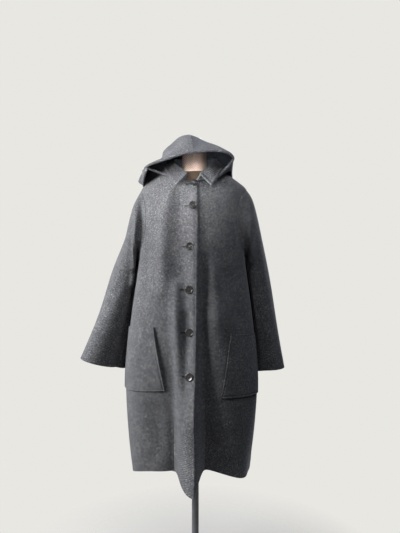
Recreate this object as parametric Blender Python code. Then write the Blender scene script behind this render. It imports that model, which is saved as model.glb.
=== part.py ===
"""A hooded tweed coat standing on a limbless dress form.

Metres, +Z up, the coat's front towards -Y. The origin is on the floor, on the axis of the form's pole.
Left and right are the wearer's, so the right side is at -X. Each panel is a thin wall, and every panel
of the body is cut from one shared form that is read by turn (0 at centre front, a quarter turn at the
wearer's left side) and by height.
"""

import math

import bmesh
import bpy
import numpy as np
from mathutils import Matrix, Vector

# Cloth and seams
WALL = 0.003
MERGE = 0.00003
SHARP_EDGE = math.radians(50)
SEAM = 0.0003
SEAT = 0.0008
LAP_GAP = 0.0020
BUTTON_SEAT = 0.0005
FORM_EASE = 0.0040
SLEEVE_CLEARANCE = 0.004
SLEEVE_CLEARANCE_ROWS = 1.5
SLEEVE_HUG = 0.030
SLEEVE_SOFTENING = 6

# Body of the coat
COAT_X = -0.012
HEM_HEIGHT = 0.430
ARMPIT_HEIGHT = 1.130
SHOULDER_TIP_HEIGHT = 1.372
NECK_FRONT_HEIGHT = 1.392
NECK_SIDE_HEIGHT = 1.456
NECK_BACK_HEIGHT = 1.448
ARMHOLE_HALF_TURN = math.radians(28)
ARMHOLE_RADIUS = 0.180
SHOULDER_SHARE = 0.3
UNDERLAP = 0.030
LAP_FLAT = 0.006
LAP_EASE = 0.030
SIDE_HEM_DIP = 0.045
SIDE_HEM_POWER = 6
SHOULDER_SWELL = 0.016
SHOULDER_SWELL_SPREAD = math.radians(32)
SHOULDER_SWELL_RISE = 0.040

# Closure that stands forward in a soft keel above the hem
KEEL_TOP = 0.960
KEEL_DEPTH = 0.125
KEEL_TURN = math.radians(2)
KEEL_NOSE = math.radians(1)
KEEL_RIGHT_SPREAD = math.radians(24)
KEEL_LEFT_SPREAD = math.radians(17)
KEEL_HEM_DROP = 0.031
KEEL_HEM_POINT = 1.5
KEEL_SWEEP = 1.8
KEEL_FULLNESS = 0.85
KEEL_LEFT_STEEPNESS = 2
FOLD_SWEEP = 1.5
PAST_HEM = 1.15
LEFT_HEM_DIP = 0.020
LEFT_DIP_TURN = math.radians(52)
LEFT_DIP_SPREAD = math.radians(17)

# Buttons
BUTTON_RADIUS = 0.0135
BUTTON_THICKNESS = 0.0042
BUTTON_HEIGHTS = (1.381, 1.303, 1.166, 1.024, 0.885, 0.745)
BUTTON_INSETS = (0.012, 0.015, 0.024, 0.025, 0.022, 0.020)
BUTTON_PROFILE = (
    # share of the radius, share of the thickness
    (0.00, 0.00),
    (0.70, 0.00),
    (0.93, 0.29),
    (1.00, 0.57),
    (0.94, 1.00),
    (0.78, 1.00),
    (0.62, 0.67),
    (0.00, 0.60),
)

# Dress form
FORM_AROUND = 32
FORM_LAP_SPREAD = 0.55
FORM_BLEND_FOOT = 1.365
FORM_BLEND = 0.030
FORM_FOOT_HEIGHT = 0.745
FORM_TOP_HEIGHT = 1.436
NECK_X = -0.004
NECK_RADIUS = 0.045
KNOB_RADIUS = 0.017
KNOB_TOP_HEIGHT = 1.5617
POLE_RADIUS = 0.0125
BASE_HUB_HEIGHT = 0.060
NECK_PROFILE = (
    # share of the neck's radius, height
    (1.00, 1.500),
    (0.94, 1.511),
    (0.74, 1.519),
    (0.42, 1.524),
    (0.30, 1.530),
)
KNOB_PROFILE = (
    # share of the knob's radius, drop below its top
    (0.85, 0.0237),
    (1.00, 0.0157),
    (0.80, 0.0040),
    (0.40, 0.0008),
    (0.00, 0.0000),
)
BASE_PROFILE = (
    # radius, height
    (0.000, 0.000),
    (0.187, 0.000),
    (0.190, 0.003),
    (0.188, 0.008),
    (0.150, 0.0125),
    (0.045, 0.018),
    (0.030, 0.026),
    (0.024, BASE_HUB_HEIGHT - 0.003),
    (0.021, BASE_HUB_HEIGHT),
    (0.000, BASE_HUB_HEIGHT),
)

BODY_RINGS = (
    # height, half width, front depth, back depth, squareness
    (0.380, 0.2060, 0.145, 0.192, 3.5),
    (0.430, 0.2105, 0.146, 0.190, 3.4),
    (0.530, 0.2225, 0.150, 0.185, 3.0),
    (0.700, 0.2325, 0.155, 0.175, 2.7),
    (0.890, 0.2190, 0.155, 0.162, 2.5),
    (1.020, 0.2030, 0.150, 0.150, 2.4),
    (1.130, 0.1880, 0.143, 0.138, 2.4),
    (1.250, 0.1830, 0.132, 0.125, 2.4),
    (1.330, 0.1860, 0.115, 0.112, 2.3),
    (1.372, 0.1800, 0.101, 0.100, 2.2),
    (1.400, 0.1560, 0.088, 0.088, 2.1),
    (1.420, 0.1340, 0.077, 0.078, 2.0),
    (1.440, 0.1060, 0.066, 0.068, 2.0),
    (1.470, 0.0580, 0.050, 0.054, 2.0),
)

BODY_FOLDS = (
    # turn at the hem, turn at the top, spread (degrees), depth, height where it fades out
    (-33, -35, 9, 0.010, 1.15),
    (-13, -11, 8, -0.012, 1.12),
    (19, 12, 9, -0.016, 1.10),
    (41, 21, 13, 0.028, 1.10),
    (72, 70, 9, -0.010, 0.72),
    (112, 108, 13, 0.014, 0.90),
    (150, 160, 12, 0.026, 1.00),
    (-172, -176, 12, -0.014, 0.95),
    (-140, -150, 12, 0.026, 1.00),
    (-106, -104, 12, 0.012, 0.85),
)

FRONT_EDGE = (
    # height, reach of the lap past the centre
    (0.380, 0.011),
    (0.700, 0.015),
    (1.000, 0.019),
    (1.400, 0.021),
)

POCKETS = (
    # name, side, foot height, top height, hand edge turn at the foot and at the top (degrees)
    ("pocket_right", -1, 0.694, 0.904, 29, 41),
    ("pocket_left", 1, 0.673, 0.880, 31, 42),
)
POCKET_TILT = 0.026
POCKET_OUTER_TURN = 78
POCKET_WALL = 0.0025
POCKET_GAPE = 0.0075
POCKET_GAPE_SPREAD = math.radians(38)
POCKET_END_GAPE = 0.25
POCKET_LEAST_STEP = math.radians(2)

RIGHT_SLEEVE = (
    # outer line x, y, z; inner line's turn (degrees), height and lift off the body; half depth.
    # x is measured outwards from the coat's centre.
    (0.197, 0.000, 1.338, 92, 1.118, 0.004, 0.090),
    (0.221, -0.005, 1.262, 105, 1.104, 0.004, 0.090),
    (0.241, -0.012, 1.172, 108, 1.075, 0.005, 0.087),
    (0.267, -0.026, 1.070, 108, 1.018, 0.005, 0.080),
    (0.311, -0.044, 0.930, 107, 0.885, 0.005, 0.068),
    (0.378, -0.060, 0.780, 105, 0.733, 0.006, 0.056),
)
LEFT_SLEEVE = (
    (0.215, 0.000, 1.345, 98, 1.118, 0.004, 0.090),
    (0.240, 0.005, 1.255, 105, 1.104, 0.004, 0.090),
    (0.258, 0.012, 1.150, 108, 1.072, 0.005, 0.088),
    (0.275, 0.018, 1.030, 110, 0.998, 0.005, 0.080),
    (0.297, 0.018, 0.890, 113, 0.864, 0.005, 0.068),
    (0.325, 0.007, 0.734, 120, 0.715, 0.006, 0.055),
)

COLLAR = (
    # turn from centre back (degrees), fold radius, fold height, edge radius, edge height, end slant
    (0, 0.066, 1.496, 0.104, 1.450, 0),
    (60, 0.067, 1.491, 0.107, 1.452, 0),
    (95, 0.073, 1.480, 0.110, 1.456, 0),
    (133, 0.091, 1.457, 0.124, 1.434, 5),
    (169, 0.112, 1.409, 0.146, 1.371, 12),
)

COLLAR_RISE = 0.0010
COLLAR_ROLL = 0.010
COLLAR_ROLL_RISE = 0.004
COLLAR_LIFT = 0.009

HOOD_ARCHES = (
    # from the face opening to the nape; each arch is x, y, z at its right edge, right swell, right crown,
    # crown, left crown, left swell and left edge, named from the wearer's side
    (
        (-0.066, -0.094, 1.398),
        (-0.160, -0.128, 1.430),
        (-0.106, -0.145, 1.450),
        (-0.008, -0.150, 1.476),
        (0.084, -0.140, 1.481),
        (0.131, -0.115, 1.460),
        (0.073, -0.089, 1.400),
    ),
    (
        (-0.160, -0.080, 1.434),
        (-0.170, -0.078, 1.440),
        (-0.101, -0.078, 1.481),
        (-0.012, -0.080, 1.534),
        (0.084, -0.075, 1.508),
        (0.133, -0.066, 1.475),
        (0.126, -0.058, 1.432),
    ),
    (
        (-0.182, -0.040, 1.386),
        (-0.203, -0.012, 1.402),
        (-0.116, -0.005, 1.508),
        (-0.022, 0.004, 1.570),
        (0.070, 0.002, 1.528),
        (0.133, 0.002, 1.456),
        (0.131, 0.002, 1.424),
    ),
    (
        (-0.180, 0.062, 1.384),
        (-0.190, 0.072, 1.412),
        (-0.122, 0.088, 1.494),
        (-0.016, 0.100, 1.545),
        (0.076, 0.092, 1.508),
        (0.135, 0.078, 1.444),
        (0.138, 0.064, 1.408),
    ),
    (
        (-0.150, 0.100, 1.366),
        (-0.146, 0.118, 1.400),
        (-0.092, 0.140, 1.440),
        (-0.012, 0.156, 1.456),
        (0.070, 0.142, 1.440),
        (0.126, 0.120, 1.400),
        (0.128, 0.102, 1.368),
    ),
    (
        (-0.120, 0.112, 1.352),
        (-0.090, 0.124, 1.358),
        (-0.052, 0.134, 1.366),
        (-0.012, 0.138, 1.370),
        (0.030, 0.134, 1.366),
        (0.068, 0.124, 1.358),
        (0.098, 0.112, 1.352),
    ),
)

FORM_RINGS = (
    # height, half width, front depth, back depth, squareness
    (0.745, 0.140, 0.098, 0.104, 2.2),
    (0.800, 0.166, 0.116, 0.124, 2.2),
    (0.900, 0.160, 0.112, 0.118, 2.2),
    (1.050, 0.126, 0.094, 0.094, 2.1),
    (1.180, 0.146, 0.112, 0.098, 2.1),
    (1.260, 0.152, 0.112, 0.100, 2.1),
    (1.330, 0.156, 0.098, 0.094, 2.1),
    (1.372, 0.160, 0.086, 0.086, 2.1),
    (1.440, 0.106, 0.062, 0.062, 2.0),
)

# Grid of the walls
FRONT_COLUMNS = 14
BACK_COLUMNS = 24
SKIRT_ROWS = 5
POCKET_ROWS = 4
WAIST_ROWS = 4
UPPER_ROWS = 12
COLUMN_CROWDING = 1.6


def smooth(knots, values, at):
    """A curve through the values that never swings past them, read at the given places."""
    knots = np.asarray(knots, float)
    values = np.asarray(values, float)
    at = np.clip(at, knots[0], knots[-1])
    step = np.diff(knots)
    rise = np.diff(values) / step
    before, after = rise[:-1], rise[1:]
    slope = np.concatenate([rise[:1], np.zeros(len(values) - 2), rise[-1:]])
    same_way = before * after > 0
    slope[1:-1][same_way] = 2 * before[same_way] * after[same_way] / (before + after)[same_way]
    i = np.clip(np.searchsorted(knots, at, "right") - 1, 0, len(step) - 1)
    t = (at - knots[i]) / step[i]
    return (
        values[i] * (1 + 2 * t) * (1 - t) ** 2
        + slope[i] * step[i] * t * (1 - t) ** 2
        + values[i + 1] * t * t * (3 - 2 * t)
        + slope[i + 1] * step[i] * t * t * (t - 1)
    )


def columns_at(table, at):
    """Every column of a table after the first, read at the given values of the first one."""
    rows = np.array(table, float)
    return [smooth(rows[:, 0], column, at) for column in rows[:, 1:].T]


def ease(share):
    """A soft step from 0 to 1."""
    share = np.clip(share, 0, 1)
    return share * share * (3 - 2 * share)


def ring_radius(table, turn, height):
    """Distance from the axis to a ring with a rounded square plan."""
    half_width, front_depth, back_depth, squareness = columns_at(table, height)
    depth = np.where(np.cos(turn) > 0, front_depth, back_depth)
    across = np.abs(np.sin(turn) / half_width) ** squareness
    along = np.abs(np.cos(turn) / depth) ** squareness
    return (across + along) ** (-1 / squareness)


def keel_share(turn):
    """1 at the nose of the closure's keel, 0 at its two roots; it falls away steeply past the lap's edge."""
    away = turn - KEEL_TURN
    right = np.clip(-away / KEEL_RIGHT_SPREAD, 0, 1)
    left = np.clip((away - KEEL_NOSE) / KEEL_LEFT_SPREAD, 0, 1)
    full = (0.5 + 0.5 * np.cos(np.pi * right)) ** KEEL_FULLNESS
    steep = (1 - left) ** KEEL_LEFT_STEEPNESS
    return np.where(away < 0, full, steep)


def body_radius(turn, height):
    """Distance of the coat's outer face from its axis, with its keel, folds and fuller left shoulder."""
    turn = (np.asarray(turn, float) + np.pi) % (2 * np.pi) - np.pi
    radius = ring_radius(BODY_RINGS, turn, height)
    from_tip = ((turn - np.pi / 2) / SHOULDER_SWELL_SPREAD) ** 2
    from_tip = from_tip + ((height - SHOULDER_TIP_HEIGHT) / SHOULDER_SWELL_RISE) ** 2
    radius = radius + SHOULDER_SWELL * np.exp(-from_tip)
    drop = np.clip((KEEL_TOP - height) / (KEEL_TOP - HEM_HEIGHT), 0, PAST_HEM)
    radius = radius + KEEL_DEPTH * drop**KEEL_SWEEP * keel_share(turn)
    for hem_turn, top_turn, spread, depth, top in BODY_FOLDS:
        down = np.clip((top - height) / (top - HEM_HEIGHT), 0, PAST_HEM)
        middle = np.radians(top_turn + (hem_turn - top_turn) * down)
        away = (turn - middle + np.pi) % (2 * np.pi) - np.pi
        radius = radius + depth * down**FOLD_SWEEP * np.exp(-((away / math.radians(spread)) ** 2))
    return radius


def body_face(turn, height):
    radius = body_radius(turn, height)
    return np.stack([COAT_X + radius * np.sin(turn), -radius * np.cos(turn), height + 0 * radius], axis=-1)


def unit(vectors):
    return vectors / np.linalg.norm(vectors, axis=-1, keepdims=True)


def body_normal(turn, height, step=0.002):
    across = body_face(turn + step, height) - body_face(turn - step, height)
    up = body_face(turn, height + step) - body_face(turn, height - step)
    return unit(np.cross(across, up))


def body_point(turn, height, lift=0.0):
    """A point of the coat's outer face, moved out by the lift."""
    turn, height = np.broadcast_arrays(turn, height)
    lift = np.broadcast_to(lift, turn.shape)
    return body_face(turn, height) + lift[..., None] * body_normal(turn, height)


def lap_turn(height):
    """Turn of the overlapping front's edge."""
    (past_centre,) = columns_at(FRONT_EDGE, height)
    return np.arctan2(past_centre, body_radius(KEEL_TURN, height))


def underlap_turn(height):
    return -np.arctan2(UNDERLAP, body_radius(KEEL_TURN, height))


def hem_height(turn):
    """The hem dips at the keel, under the wearer's left front and at the sides."""
    keel = KEEL_HEM_DROP * keel_share(turn) ** KEEL_HEM_POINT
    dip = LEFT_HEM_DIP * np.exp(-(((turn - LEFT_DIP_TURN) / LEFT_DIP_SPREAD) ** 2))
    sides = SIDE_HEM_DIP * np.sin(turn) ** SIDE_HEM_POWER
    return HEM_HEIGHT - keel - dip - sides


def neck_height(turn):
    """Height of the neckline round the body."""
    share = (1 - np.cos(turn)) / 2
    front = NECK_FRONT_HEIGHT + (NECK_SIDE_HEIGHT - NECK_FRONT_HEIGHT) * np.minimum(2 * share, 1)
    back = NECK_SIDE_HEIGHT + (NECK_BACK_HEIGHT - NECK_SIDE_HEIGHT) * np.clip(2 * share - 1, 0, 1)
    return np.where(np.cos(turn) > 0, front, back)


def armhole(angle, pull=0.0):
    """Turn and height round a left armhole: angle 0 at the shoulder tip, a quarter turn at the front."""
    middle = (SHOULDER_TIP_HEIGHT + ARMPIT_HEIGHT) / 2
    half = (SHOULDER_TIP_HEIGHT - ARMPIT_HEIGHT) / 2
    reach = ARMHOLE_HALF_TURN + pull / ARMHOLE_RADIUS
    return np.pi / 2 - reach * np.sin(angle), middle + (half + pull) * np.cos(angle)


def patch(bottom, top, start, end, rows, columns):
    """A grid of (turn, height) that fills the space between four edges, each read by a share from 0 to 1."""
    u = np.linspace(0, 1, columns + 1)[None, :, None]
    v = np.linspace(0, 1, rows + 1)[:, None, None]
    low, high = bottom(u[0, :, 0])[None], top(u[0, :, 0])[None]
    first, last = start(v[:, 0, 0])[:, None], end(v[:, 0, 0])[:, None]
    corners = (
        (1 - u) * (1 - v) * low[:, :1] + u * (1 - v) * low[:, -1:]
        + (1 - u) * v * high[:, :1] + u * v * high[:, -1:]
    )
    return (1 - v) * low + v * high + (1 - u) * first + u * last - corners


def pairs(turn, height):
    return np.stack(np.broadcast_arrays(turn, height), axis=-1).astype(float)


def half_seam(height):
    """Turn that takes half a seam's gap at a side."""
    return SEAM / 2 / body_radius(np.pi / 2, height)


def side_turn(height):
    return np.pi / 2 - half_seam(height)


def lower_heights(turn, share, foot, top):
    """Heights of the rows from the hem to the armpit, with rows along the pocket's foot and top."""
    hem = hem_height(turn)
    tilt = POCKET_TILT * (share - 0.5)
    levels = (hem, foot - tilt, top - tilt, ARMPIT_HEIGHT + 0 * hem)
    rows = []
    for low, high, count in zip(levels[:-1], levels[1:], (SKIRT_ROWS, POCKET_ROWS, WAIST_ROWS)):
        rows.extend(low + (high - low) * step / count for step in range(count))
    return np.array(rows)


def front_grid(side, edge_turn, foot, top_of_pocket):
    """Turns and heights of a front, hem first, from the edge that closes to the side seam.

    The turns are those of a left front, and side is -1 where they are read to the right.
    """

    def across(share, height):
        start = edge_turn(height)
        return start + (side_turn(height) - start) * share**COLUMN_CROWDING

    def split(share):
        return pairs(across(share, ARMPIT_HEIGHT + 0 * share), ARMPIT_HEIGHT)

    def top(share):
        """Along the neckline for the first half, then down the shoulder seam."""
        start = edge_turn(np.array(NECK_FRONT_HEIGHT))
        neck_turn = start + (np.pi / 2 - start) * np.clip(2 * share, 0, 1)
        down = np.clip(2 * share - 1, 0, 1)
        height = neck_height(neck_turn) + (SHOULDER_TIP_HEIGHT - NECK_SIDE_HEIGHT) * down
        return pairs(np.minimum(neck_turn, side_turn(height)), height)

    def closing_edge(share):
        height = ARMPIT_HEIGHT + (NECK_FRONT_HEIGHT - ARMPIT_HEIGHT) * share
        return pairs(edge_turn(height), height)

    def armhole_edge(share):
        turn, height = armhole(np.pi * (1 - share), SEAM / 2)
        return pairs(np.minimum(turn, side_turn(height)), height)

    upper = patch(split, top, closing_edge, armhole_edge, UPPER_ROWS, FRONT_COLUMNS)
    share = np.linspace(0, 1, FRONT_COLUMNS + 1)
    height = lower_heights(side * across(share, np.array(HEM_HEIGHT)), share, foot, top_of_pocket)
    lower = pairs(across(share[None], height), height)
    return np.concatenate([lower, upper])


def back_grid():
    """Turns and heights of the back, hem first, from the left side seam to the right one."""

    def span(share):
        return np.pi / 2 + np.pi * share

    def inside(turn, height):
        gap = half_seam(height)
        return np.clip(turn, np.pi / 2 + gap, 1.5 * np.pi - gap)

    def split(share):
        return pairs(inside(span(share), ARMPIT_HEIGHT), ARMPIT_HEIGHT)

    def top(share):
        """Up the left shoulder seam, along the neckline, down the right shoulder seam."""
        from_end = np.minimum(share, 1 - share)
        down = np.clip(1 - from_end / SHOULDER_SHARE, 0, 1)
        along_neck = (share - SHOULDER_SHARE) / (1 - 2 * SHOULDER_SHARE)
        neck_turn = np.pi / 2 + np.pi * np.clip(along_neck, 0, 1)
        height = neck_height(neck_turn) + (SHOULDER_TIP_HEIGHT - NECK_SIDE_HEIGHT) * down
        return pairs(inside(neck_turn, height), height)

    def left_armhole(share):
        turn, height = armhole(np.pi * (1 + share), SEAM / 2)
        return pairs(inside(turn, height), height)

    def right_armhole(share):
        turn, height = armhole(np.pi * (1 - share), SEAM / 2)
        return pairs(inside(turn + np.pi, height), height)

    upper = patch(split, top, left_armhole, right_armhole, UPPER_ROWS, BACK_COLUMNS)
    turn = span(np.linspace(0, 1, BACK_COLUMNS + 1))[None]
    hem = hem_height(turn)
    rows = SKIRT_ROWS + POCKET_ROWS + WAIST_ROWS
    height = hem + (ARMPIT_HEIGHT - hem) * np.linspace(0, 1, rows + 1)[:-1, None]
    return np.concatenate([pairs(inside(turn, height), height), upper])


def material(name, colour, roughness):
    made = bpy.data.materials.get(name)
    if made is None:
        made = bpy.data.materials.new(name)
        made.use_nodes = True
        shader = made.node_tree.nodes["Principled BSDF"]
        shader.inputs["Base Color"].default_value = (*colour, 1)
        shader.inputs["Roughness"].default_value = roughness
    return made


def add_object(name, mesh, finish):
    """A named object from a bmesh, shaded smooth, with its material."""
    data = bpy.data.meshes.new(name)
    mesh.to_mesh(data)
    mesh.free()
    data.shade_smooth()
    data.set_sharp_from_angle(angle=SHARP_EDGE)
    data.materials.append(finish)
    made = bpy.data.objects.new(name, data)
    bpy.context.scene.collection.objects.link(made)
    return made


def add_wall(name, outer, inner, finish):
    """A sheet through the outer points, extruded to the inner ones; equal end columns are sewn to a tube."""
    rows, columns = outer.shape[:2]
    mesh = bmesh.new()
    bmesh.ops.create_grid(mesh, x_segments=columns - 1, y_segments=rows - 1, size=1)
    place = mesh.verts.layers.int.new("place")
    for number, (vert, point) in enumerate(zip(mesh.verts, outer.reshape(-1, 3))):
        vert.co = point
        vert[place] = number
    if np.allclose(outer[:, 0], outer[:, -1]):
        bmesh.ops.remove_doubles(mesh, verts=mesh.verts, dist=MERGE)
    made = bmesh.ops.extrude_face_region(mesh, geom=mesh.faces[:], use_keep_orig=True)
    within = inner.reshape(-1, 3)
    for vert in made["geom"]:
        if isinstance(vert, bmesh.types.BMVert):
            vert.co = within[vert[place]]
    bmesh.ops.recalc_face_normals(mesh, faces=mesh.faces[:])
    if mesh.calc_volume(signed=True) < 0:
        bmesh.ops.reverse_faces(mesh, faces=mesh.faces[:])
    return add_object(name, mesh, finish)


def grid_normals(points, tube=False):
    """Normals of a grid of points, from its neighbours along rows and columns."""
    along = np.gradient(points, axis=0)
    if tube:
        ring = points[:, :-1]
        across = np.roll(ring, -1, axis=1) - np.roll(ring, 1, axis=1)
        across = np.concatenate([across, across[:, :1]], axis=1)
    else:
        across = np.gradient(points, axis=1)
    return unit(np.cross(across, along))


def round_axis(points):
    """Turn, distance from the coat's axis, and height of each point."""
    across, along = points[..., 0] - COAT_X, -points[..., 1]
    return np.arctan2(across, along), np.hypot(across, along), points[..., 2]


def clear_of_body(points, lift, step=0.004):
    """The same points, moved out where they lie nearer than the lift to the coat's outer face."""
    turn, radius, height = round_axis(points)
    least = body_radius(turn, height)
    slope = (body_radius(turn, height + step) - body_radius(turn, height - step)) / (2 * step)
    least = least + lift * np.sqrt(1 + slope**2)
    out = np.where(height < NECK_SIDE_HEIGHT, np.maximum(radius, least), radius)
    return np.stack([COAT_X + out * np.sin(turn), -out * np.cos(turn), height], axis=-1)


def lap_lift(turn, height):
    """How far the left front runs below the outer face to pass under the lap."""
    past_edge = (turn - lap_turn(height)) * body_radius(turn, height)
    return -(WALL + LAP_GAP) * (1 - ease((past_edge - LAP_FLAT) / LAP_EASE))


def add_fronts(cloth):
    """Both fronts, with the grids that the pockets are cut from."""
    (_, _, foot, top, _, _), (_, _, left_foot, left_top, _, _) = POCKETS
    right = front_grid(-1, lambda height: -lap_turn(height), foot, top)
    turn, height = -right[..., 0], right[..., 1]
    add_wall("coat_front_right", body_point(turn, height), body_point(turn, height, -WALL), cloth)
    left = front_grid(1, underlap_turn, left_foot, left_top)
    turn, height = left[..., 0], left[..., 1]
    lift = lap_lift(turn, height)
    add_wall("coat_front_left", body_point(turn, height, lift), body_point(turn, height, lift - WALL), cloth)
    return {-1: right, 1: left}


def add_back(cloth):
    grid = back_grid()
    turn, height = grid[..., 0], grid[..., 1]
    add_wall("coat_back", body_point(turn, height), body_point(turn, height, -WALL), cloth)


def add_sleeve(name, side, table, cloth, along=14):
    """A tube from the armhole through the rings of its table to the open cuff."""
    around = 2 * UPPER_ROWS
    angle = np.linspace(0, 2 * np.pi, around + 1)
    turn, height = armhole(angle, -SEAM)
    forward = np.array([0.0, -1.0, 0.0])
    mirror = np.array([side, 1.0, 1.0])
    shift = np.array([COAT_X * (1 - side), 0, 0])
    rings = [mirror * body_point(side * turn, height) + shift]
    for row in np.array(table):
        outer = row[:3] + (COAT_X, 0, 0)
        inner_turn, inner_height, inner_lift, half_depth = row[3:]
        inner = mirror * body_point(side * np.radians(inner_turn), inner_height, inner_lift) + shift
        middle = (outer + inner) / 2
        reach = (outer - inner) / 2
        front = unit(forward - unit(reach) * (forward @ unit(reach))) * half_depth
        rings.append(middle + np.cos(angle)[:, None] * reach + np.sin(angle)[:, None] * front)
    rings = np.array(rings)
    station = np.linspace(0, len(rings) - 1, along + 1)
    knots = np.arange(len(rings))
    tube = np.array([
        [[smooth(knots, rings[:, j, axis], s) for axis in range(3)] for j in range(around + 1)]
        for s in station
    ])
    tube = tube * mirror + shift
    clearance = SLEEVE_CLEARANCE * np.clip(np.arange(along + 1) / SLEEVE_CLEARANCE_ROWS, 0, 1)[:, None]
    inwards = (0.5 - 0.5 * np.cos(angle[:-1]))[:, None]
    tube[1:] = clear_of_body(tube[1:], clearance[1:])
    for _ in range(SLEEVE_SOFTENING):
        ring = tube[1:, :-1]
        between = (np.roll(ring, 1, axis=1) + np.roll(ring, -1, axis=1)) / 2
        turn, radius, height = round_axis(ring)
        beside_body = np.exp(-(((radius - body_radius(turn, height)) / SLEEVE_HUG) ** 2))[..., None]
        tube[1:, :-1] = ring + (between - ring) * beside_body * inwards / 2
        tube[:, -1] = tube[:, 0]
        tube[1:] = clear_of_body(tube[1:], clearance[1:])
    normal = grid_normals(tube, tube=True)
    if np.sum(normal[-1] * (tube[-1] - tube[-1].mean(axis=0))) < 0:
        normal = -normal
    add_wall(name, tube, tube - WALL * normal, cloth)


def add_collar(cloth, around=26, stand_rows=3, roll_rows=2, fall_rows=4):
    """Stand, roll and fall in one sheet, from the neckline up over the fold and down to the collar's edge."""
    end = COLLAR[-1][0]
    turn = np.radians(np.linspace(-end, end, around + 1))
    fold_radius, fold_height, edge_radius, edge_height, slant = columns_at(COLLAR, np.degrees(np.abs(turn)))
    slant = np.radians(slant) * np.sign(turn)

    def place(angle, radius, height):
        return np.stack([NECK_X - radius * np.sin(angle), radius * np.cos(angle), height], axis=-1)

    seam = body_face(turn + np.pi, neck_height(turn + np.pi)) + np.array([0, 0, COLLAR_RISE])
    fold = place(turn, fold_radius, fold_height)
    over = place(turn, fold_radius + COLLAR_ROLL, fold_height)
    edge = place(turn - slant, edge_radius, edge_height)
    rows = []
    for share in np.linspace(0, 1, stand_rows + 1):
        rows.append(seam + (fold - seam) * share)
    for share in np.linspace(0, 1, roll_rows + 1)[1:]:
        bow = np.array([0, 0, COLLAR_ROLL_RISE]) * math.sin(math.pi * share)
        rows.append(fold + (over - fold) * share + bow)
    for share in np.linspace(0, 1, fall_rows + 1)[1:]:
        rows.append(over + (edge - over) * share)
    sheet = np.array(rows)
    fall = stand_rows + roll_rows
    sheet[fall:] = clear_of_body(sheet[fall:], COLLAR_LIFT)
    normal = grid_normals(sheet)
    if np.sum(normal[-1, :, 2]) < 0:
        normal = -normal
    add_wall("collar", sheet, sheet - WALL * normal, cloth)


def add_hood(cloth, across=24, along=20):
    """Two halves of one draped shell, parted by the seam over the crown."""
    arches = np.array(HOOD_ARCHES)
    points = np.arange(arches.shape[1])
    knots = np.arange(len(arches))
    shares = np.linspace(0, points[-1], across + 1)
    drawn = np.array([
        [[smooth(points, arch[:, axis], s) for axis in range(3)] for s in shares] for arch in arches
    ])
    shell = np.array([
        [[smooth(knots, drawn[:, j, axis], s) for axis in range(3)] for j in range(across + 1)]
        for s in np.linspace(0, knots[-1], along + 1)
    ])
    shell = clear_of_body(shell, WALL + SEAT)
    normal = grid_normals(shell)
    if normal[along // 2, across // 2, 2] < 0:
        normal = -normal
    inner = shell - WALL * normal
    middle = across // 2
    for name, part, towards in (
        ("hood_right", slice(0, middle + 1), -1),
        ("hood_left", slice(middle, None), 1),
    ):
        outer_half, inner_half = shell[:, part].copy(), inner[:, part].copy()
        seam_column = -1 if towards < 0 else 0
        pull = unit(shell[:, middle + towards] - shell[:, middle]) * SEAM / 2
        outer_half[:, seam_column] += pull
        inner_half[:, seam_column] += pull
        add_wall(name, outer_half, inner_half, cloth)


def add_pocket(name, side, foot_turn, top_turn, grid, cloth):
    """A patch of the front's own points, moved out, with its slanted hand edge standing away."""
    turn, height = grid[..., 0], grid[..., 1]
    last = int(np.argmin(np.abs(turn[SKIRT_ROWS] - math.radians(POCKET_OUTER_TURN))))
    first = int(np.argmax(turn[SKIRT_ROWS] > math.radians(foot_turn))) - 1
    rows = slice(SKIRT_ROWS, SKIRT_ROWS + POCKET_ROWS + 1)
    turn = turn[rows, first:last + 1]
    height = height[rows, first:last + 1]
    up = np.linspace(0, 1, len(turn))
    hand_edge = np.radians(foot_turn + (top_turn - foot_turn) * up)[:, None]
    turn = np.maximum(turn, hand_edge + POCKET_LEAST_STEP * np.arange(turn.shape[1]))
    inwards = np.clip(1 - (turn - hand_edge) / POCKET_GAPE_SPREAD, 0, 1) ** 2
    gape = POCKET_GAPE * inwards * (POCKET_END_GAPE + (1 - POCKET_END_GAPE) * np.sin(np.pi * up)[:, None])
    lift = SEAT + gape
    outer = body_point(side * turn, height, lift + POCKET_WALL)
    inner = body_point(side * turn, height, lift)
    add_wall(name, outer, inner, cloth)


def turned(name, profile, finish, segments, place=Matrix.Identity(4)):
    """A solid turned about Z from (radius, height) points that run from the axis to the axis."""
    mesh = bmesh.new()
    line = [mesh.verts.new((radius, 0, height)) for radius, height in profile]
    edges = [mesh.edges.new(ends) for ends in zip(line[:-1], line[1:])]
    bmesh.ops.spin(
        mesh, geom=line + edges, cent=(0, 0, 0), axis=(0, 0, 1), angle=2 * math.pi,
        steps=segments, use_merge=True,
    )
    bmesh.ops.remove_doubles(mesh, verts=mesh.verts, dist=MERGE)
    bmesh.ops.recalc_face_normals(mesh, faces=mesh.faces[:])
    bmesh.ops.transform(mesh, matrix=place, verts=mesh.verts)
    return add_object(name, mesh, finish)


def add_buttons(horn):
    """Round buttons with a raised rim and a dished middle, seated on the lap."""
    profile = [(out * BUTTON_RADIUS, up * BUTTON_THICKNESS) for out, up in BUTTON_PROFILE]
    for number, (height, inset) in enumerate(zip(BUTTON_HEIGHTS, BUTTON_INSETS), start=1):
        edge = lap_turn(np.array(height))
        turn = edge - inset / body_radius(edge, np.array(height))
        seat = Vector(body_point(turn, np.array(height), BUTTON_SEAT))
        facing = Vector(body_normal(turn, np.array(height))).to_track_quat("Z", "Y")
        place = Matrix.Translation(seat) @ facing.to_matrix().to_4x4()
        turned(f"button_{number}", profile, horn, segments=16, place=place)


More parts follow.
